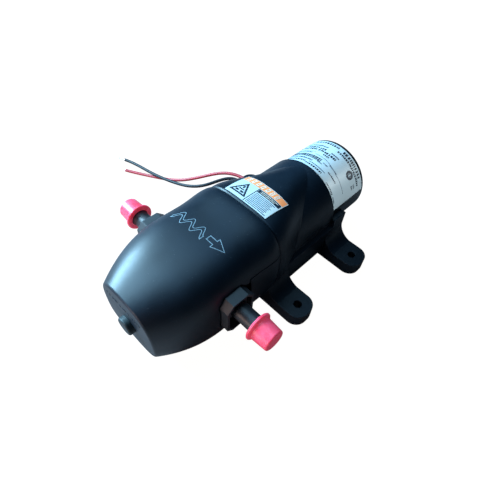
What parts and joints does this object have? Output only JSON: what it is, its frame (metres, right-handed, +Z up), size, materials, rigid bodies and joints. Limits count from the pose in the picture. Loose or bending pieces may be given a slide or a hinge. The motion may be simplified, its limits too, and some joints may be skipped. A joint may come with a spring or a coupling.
{
  "type": "diaphragm bilge pump",
  "caption": "Small electric diaphragm bilge pump with a wobble-plate drive, pressure switch, barbed hose tails with lift-off caps, and a footed mounting sleeve.",
  "frame": {"origin": "centre of the four foot holes, on the plane of the feet's undersides", "axes": "+Z up from the mounting surface, +X along the flow from inlet to outlet, -Y towards the nose along the motor axis"},
  "size_m": [0.2027, 0.1735, 0.0605],
  "materials": {
    "black_plastic": "satin injection-moulded, fine texture",
    "black_rubber": "matt",
    "pump_plastic": "satin glass-filled nylon",
    "valve_rubber": "matt",
    "red_vinyl": "soft vinyl, slightly translucent",
    "black_paint": "satin black paint over steel",
    "label_film": "printed film",
    "steel": "bright",
    "zinc_screw": "zinc plated",
    "lamination": "stacked laminations",
    "copper": "enamelled copper",
    "bronze": "sintered bronze",
    "brass": "bright",
    "magnet": "sintered ferrite",
    "carbon": "carbon graphite",
    "phenolic": "phenolic resin",
    "red_insulation": "vinyl wire insulation",
    "black_insulation": "vinyl wire insulation",
    "tinned_copper": "tinned strands"
  },
  "bodies": {
    "housing": {"brush_card": "phenolic", "brush_springs": "steel", "brush_tubes": "brass", "carbon_brushes": "carbon", "caution_label": "label_film", "diaphragm": "valve_rubber", "diaphragm_plate": "pump_plastic", "drive_housing": "pump_plastic", "drive_screws": "zinc_screw", "field_magnets": "magnet", "front_bearing_outer": "steel", "hose_tail_inlet": "pump_plastic", "hose_tail_outlet": "pump_plastic", "inlet_valves": "valve_rubber", "lead_black": "black_insulation", "lead_red": "red_insulation", "lead_tips": "tinned_copper", "manifold": "pump_plastic", "manifold_gasket": "valve_rubber", "microswitch_case": "phenolic", "microswitch_terminals": "brass", "motor_can": "black_paint", "motor_front_plate": "zinc_screw", "motor_label": "label_film", "mounting_sleeve": "black_plastic", "nose_cover": "black_plastic", "outlet_valves": "valve_rubber", "pressure_spring": "steel", "pump_screws": "zinc_screw", "rear_bush": "bronze", "switch_body": "pump_plastic", "switch_diaphragm": "valve_rubber", "switch_screws": "zinc_screw", "tail_clips": "pump_plastic", "tail_seals": "valve_rubber", "valve_plate": "pump_plastic"},
    "rotor": {"motor_shaft": "steel", "armature_core": "lamination", "armature_windings": "copper", "commutator_hub": "phenolic", "commutator_bars": "copper", "thrust_washer": "phenolic", "front_bearing_inner": "steel", "front_bearing_balls": "steel", "eccentric_hub": "steel", "wobble_bearing_inner": "steel", "wobble_bearing_balls": "steel"},
    "wobbler": {"wobble_plate": "pump_plastic", "wobble_bearing_outer": "steel", "piston_discs": "pump_plastic", "piston_screws": "zinc_screw"},
    "cap_inlet": {"port_cap_inlet": "red_vinyl"},
    "cap_outlet": {"port_cap_outlet": "red_vinyl"},
    "plug": {"adjuster_plug": "black_rubber"},
    "plunger": {"switch_plunger": "pump_plastic", "microswitch_button": "red_vinyl"},
    "adjuster": {"adjusting_screw": "brass"},
    "seat": {"spring_seat": "brass"}
  },
  "joints": [
    {"name": "rotor_spin", "type": "hinge", "parent": "housing", "child": "rotor", "pos_m": [0, 0, 0.02835], "axis": [0, -1, 0], "continuous": true},
    {"name": "wobble_nutate", "type": "hinge", "parent": "rotor", "child": "wobbler", "pos_m": [0, -0.026, 0.02835], "axis": [0.0698, -0.9976, 0], "continuous": true, "deforming": ["diaphragm"]},
    {"name": "cap_inlet_pull", "type": "slide", "parent": "housing", "child": "cap_inlet", "axis": [-1, 0, 0], "range_m": [0, 0.025]},
    {"name": "cap_outlet_pull", "type": "slide", "parent": "housing", "child": "cap_outlet", "axis": [1, 0, 0], "range_m": [0, 0.025]},
    {"name": "plug_pull", "type": "slide", "parent": "housing", "child": "plug", "axis": [0, -1, 0], "range_m": [0, 0.015]},
    {"name": "plunger_travel", "type": "slide", "parent": "housing", "child": "plunger", "axis": [0, -1, 0], "range_m": [0, 0.0008], "deforming": ["pressure_spring", "switch_diaphragm"]},
    {"name": "adjuster_turn", "type": "hinge", "parent": "housing", "child": "adjuster", "pos_m": [0, -0.1, 0.0265], "axis": [0, 1, 0], "range_deg": [-360, 720]},
    {"name": "seat_travel", "type": "slide", "parent": "housing", "child": "seat", "axis": [0, 1, 0], "range_m": [-0.0007, 0.0014], "deforming": ["pressure_spring"]}
  ],
  "couplings": [
    {"joint": "wobble_nutate", "follows": "rotor_spin", "ratio": -1},
    {"joint": "adjuster_turn", "follows": "seat_travel", "rad_per_m": 8976}
  ]
}
